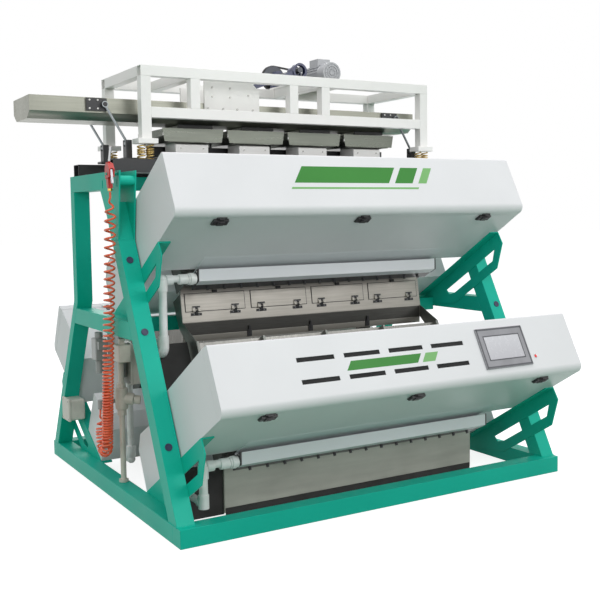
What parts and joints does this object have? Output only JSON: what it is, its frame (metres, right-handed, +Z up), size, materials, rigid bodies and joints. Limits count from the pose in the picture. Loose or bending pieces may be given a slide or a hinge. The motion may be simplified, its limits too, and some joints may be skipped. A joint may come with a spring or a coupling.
{
  "type": "optical colour sorter",
  "caption": "Free-standing optical grain sorter on a raked green tube frame, with white lift-up hoods, chutes, touch screen, swinging feed trough and curly air hose",
  "frame": {"origin": "middle of the front sill's underside, on the floor", "axes": "X to the machine's right as seen from the front, Y to the back, Z up"},
  "size_m": [2.398, 2.267, 2.216],
  "materials": {
    "green_paint": "semi-gloss teal green enamel",
    "white_paint": "satin off-white powder coat",
    "black_paint": "satin black",
    "black_plastic": "moulded black nylon",
    "stainless": "brushed stainless sheet",
    "aluminium": "plain extruded or cast aluminium",
    "black_rubber": "matt black rubber",
    "spring_brass": "yellow passivated spring wire",
    "cast_grey": "machined grey iron",
    "navy_paint": "dark blue bearing paint",
    "pipe_plastic": "white PVC pipe",
    "hose_plastic": "orange polyurethane",
    "red_plastic": "moulded red plastic",
    "lever_steel": "bright plated steel",
    "bezel_plastic": "dark grey moulded bezel",
    "screen_glass": "pale grey panel glass"
  },
  "bodies": {
    "machine": {"front_sill": "green_paint", "base_sills": "green_paint", "front_posts": "green_paint", "post_heads": "green_paint", "rear_posts": "green_paint", "side_rails": "green_paint", "cross_tubes": "green_paint", "ear_brackets": "green_paint", "upper_hood_shell": "white_paint", "lower_hood_shell": "white_paint", "rear_hood_shell": "white_paint", "hood_hinges": "black_paint", "latches": "black_plastic", "lamp_housings": "aluminium", "lamp_end_caps": "black_plastic", "camera_units": "black_paint", "camera_boxes": "white_paint", "chutes": "stainless", "chute_dividers": "stainless", "chute_side_plates": "stainless", "ejector_bars": "aluminium", "collector_band": "stainless", "band_hinges": "black_paint", "outlet_hoppers": "stainless", "conduit_pipes": "pipe_plastic", "feeder_base": "black_paint", "tray_drives": "white_paint", "rod_clamps": "black_paint", "isolation_springs": "spring_brass", "air_gun": "red_plastic", "air_hose": "hose_plastic", "air_filter": "aluminium"},
    "upper_door": {"upper_hood_door": "white_paint"},
    "lower_door": {"lower_hood_door": "white_paint", "touch_screen": "bezel_plastic", "screen_glass": "screen_glass", "indicator_lamp": "red_plastic"},
    "rear_door": {"rear_hood_door": "white_paint"},
    "band_door_1": {"band_door_1": "stainless"},
    "band_door_2": {"band_door_2": "stainless"},
    "band_door_3": {"band_door_3": "stainless"},
    "band_door_4": {"band_door_4": "stainless"},
    "tray_1": {"feeder_tray_1": "stainless"},
    "tray_2": {"feeder_tray_2": "stainless"},
    "tray_3": {"feeder_tray_3": "stainless"},
    "tray_4": {"feeder_tray_4": "stainless"},
    "trough": {"feed_trough": "stainless", "trough_plates": "white_paint", "trough_blocks": "black_rubber", "connecting_rod": "aluminium"},
    "gates": {"outlet_gates": "stainless"},
    "rods_left": {"swing_rods_left": "aluminium"},
    "rods_right": {"swing_rods_right": "aluminium"},
    "drive_frame": {"top_frame": "white_paint", "motor": "aluminium", "pillow_blocks": "navy_paint", "drive_belt": "black_rubber"},
    "motor_rotor": {"motor_pulley": "cast_grey"},
    "crank": {"crank_pulley": "cast_grey"},
    "trigger": {"gun_trigger": "lever_steel"}
  },
  "joints": [
    {"name": "upper_door_hinge", "type": "hinge", "parent": "machine", "child": "upper_door", "pos_m": [0, 0.30697, 1.59529], "axis": [-1, 0, 0], "range_deg": [0, 68.75]},
    {"name": "lower_door_hinge", "type": "hinge", "parent": "machine", "child": "lower_door", "pos_m": [0, -0.0966, 0.82004], "axis": [-1, 0, 0], "range_deg": [0, 68.75]},
    {"name": "rear_door_hinge", "type": "hinge", "parent": "machine", "child": "rear_door", "pos_m": [0, 1.8276, 0.82004], "axis": [1, 0, 0], "range_deg": [0, 68.75]},
    {"name": "band_hinge_1", "type": "hinge", "parent": "machine", "child": "band_door_1", "pos_m": [-0.534, 0.6698, 0.88103], "axis": [1, 0, 0], "range_deg": [0, 85.94]},
    {"name": "band_hinge_2", "type": "hinge", "parent": "machine", "child": "band_door_2", "pos_m": [-0.178, 0.6698, 0.88103], "axis": [1, 0, 0], "range_deg": [0, 85.94]},
    {"name": "band_hinge_3", "type": "hinge", "parent": "machine", "child": "band_door_3", "pos_m": [0.178, 0.6698, 0.88103], "axis": [1, 0, 0], "range_deg": [0, 85.94]},
    {"name": "band_hinge_4", "type": "hinge", "parent": "machine", "child": "band_door_4", "pos_m": [0.534, 0.6698, 0.88103], "axis": [1, 0, 0], "range_deg": [0, 85.94]},
    {"name": "tray_shake_1", "type": "slide", "parent": "machine", "child": "tray_1", "axis": [0, 1, 0], "range_m": [-0.0015, 0.0015], "stiffness_N_per_m": 20000},
    {"name": "tray_shake_2", "type": "slide", "parent": "machine", "child": "tray_2", "axis": [0, 1, 0], "range_m": [-0.0015, 0.0015], "stiffness_N_per_m": 20000},
    {"name": "tray_shake_3", "type": "slide", "parent": "machine", "child": "tray_3", "axis": [0, 1, 0], "range_m": [-0.0015, 0.0015], "stiffness_N_per_m": 20000},
    {"name": "tray_shake_4", "type": "slide", "parent": "machine", "child": "tray_4", "axis": [0, 1, 0], "range_m": [-0.0015, 0.0015], "stiffness_N_per_m": 20000},
    {"name": "trough_swing", "type": "slide", "parent": "machine", "child": "trough", "axis": [0.8572, 0, 0.515], "range_m": [-0.006, 0.006], "stiffness_N_per_m": 12000, "springref_m": 0.01554},
    {"name": "gate_slide", "type": "slide", "parent": "trough", "child": "gates", "axis": [1, 0, 0], "range_m": [0, 0.07]},
    {"name": "rod_pivot_left", "type": "hinge", "parent": "machine", "child": "rods_left", "pos_m": [-0.89, 1.0445, 1.692], "axis": [0, 1, 0], "range_deg": [-1.72, 1.72]},
    {"name": "rod_pivot_right", "type": "hinge", "parent": "machine", "child": "rods_right", "pos_m": [0.815, 1.0445, 1.692], "axis": [0, 1, 0], "range_deg": [-1.72, 1.72]},
    {"name": "frame_shake", "type": "slide", "parent": "machine", "child": "drive_frame", "axis": [1, 0, 0], "range_m": [-0.002, 0.002], "stiffness_N_per_m": 20000},
    {"name": "motor_spin", "type": "hinge", "parent": "drive_frame", "child": "motor_rotor", "pos_m": [0.382, 1.372, 2.13], "axis": [0, 1, 0], "continuous": true},
    {"name": "crank_spin", "type": "hinge", "parent": "drive_frame", "child": "crank", "pos_m": [0.19, 1.372, 2.13], "axis": [0, 1, 0], "continuous": true},
    {"name": "trigger_pull", "type": "hinge", "parent": "machine", "child": "trigger", "pos_m": [-1.085, 0.56325, 1.544], "axis": [1, 0, 0], "range_deg": [0, 6.88], "stiffness_Nm_per_rad": 2}
  ],
  "couplings": [
    {"joint": "rod_pivot_left", "follows": "trough_swing", "rad_per_m": 4.7619},
    {"joint": "rod_pivot_right", "follows": "trough_swing", "rad_per_m": 4.7619},
    {"joint": "frame_shake", "follows": "trough_swing", "ratio": -0.3},
    {"joint": "crank_spin", "follows": "motor_spin", "ratio": 0.6818}
  ]
}
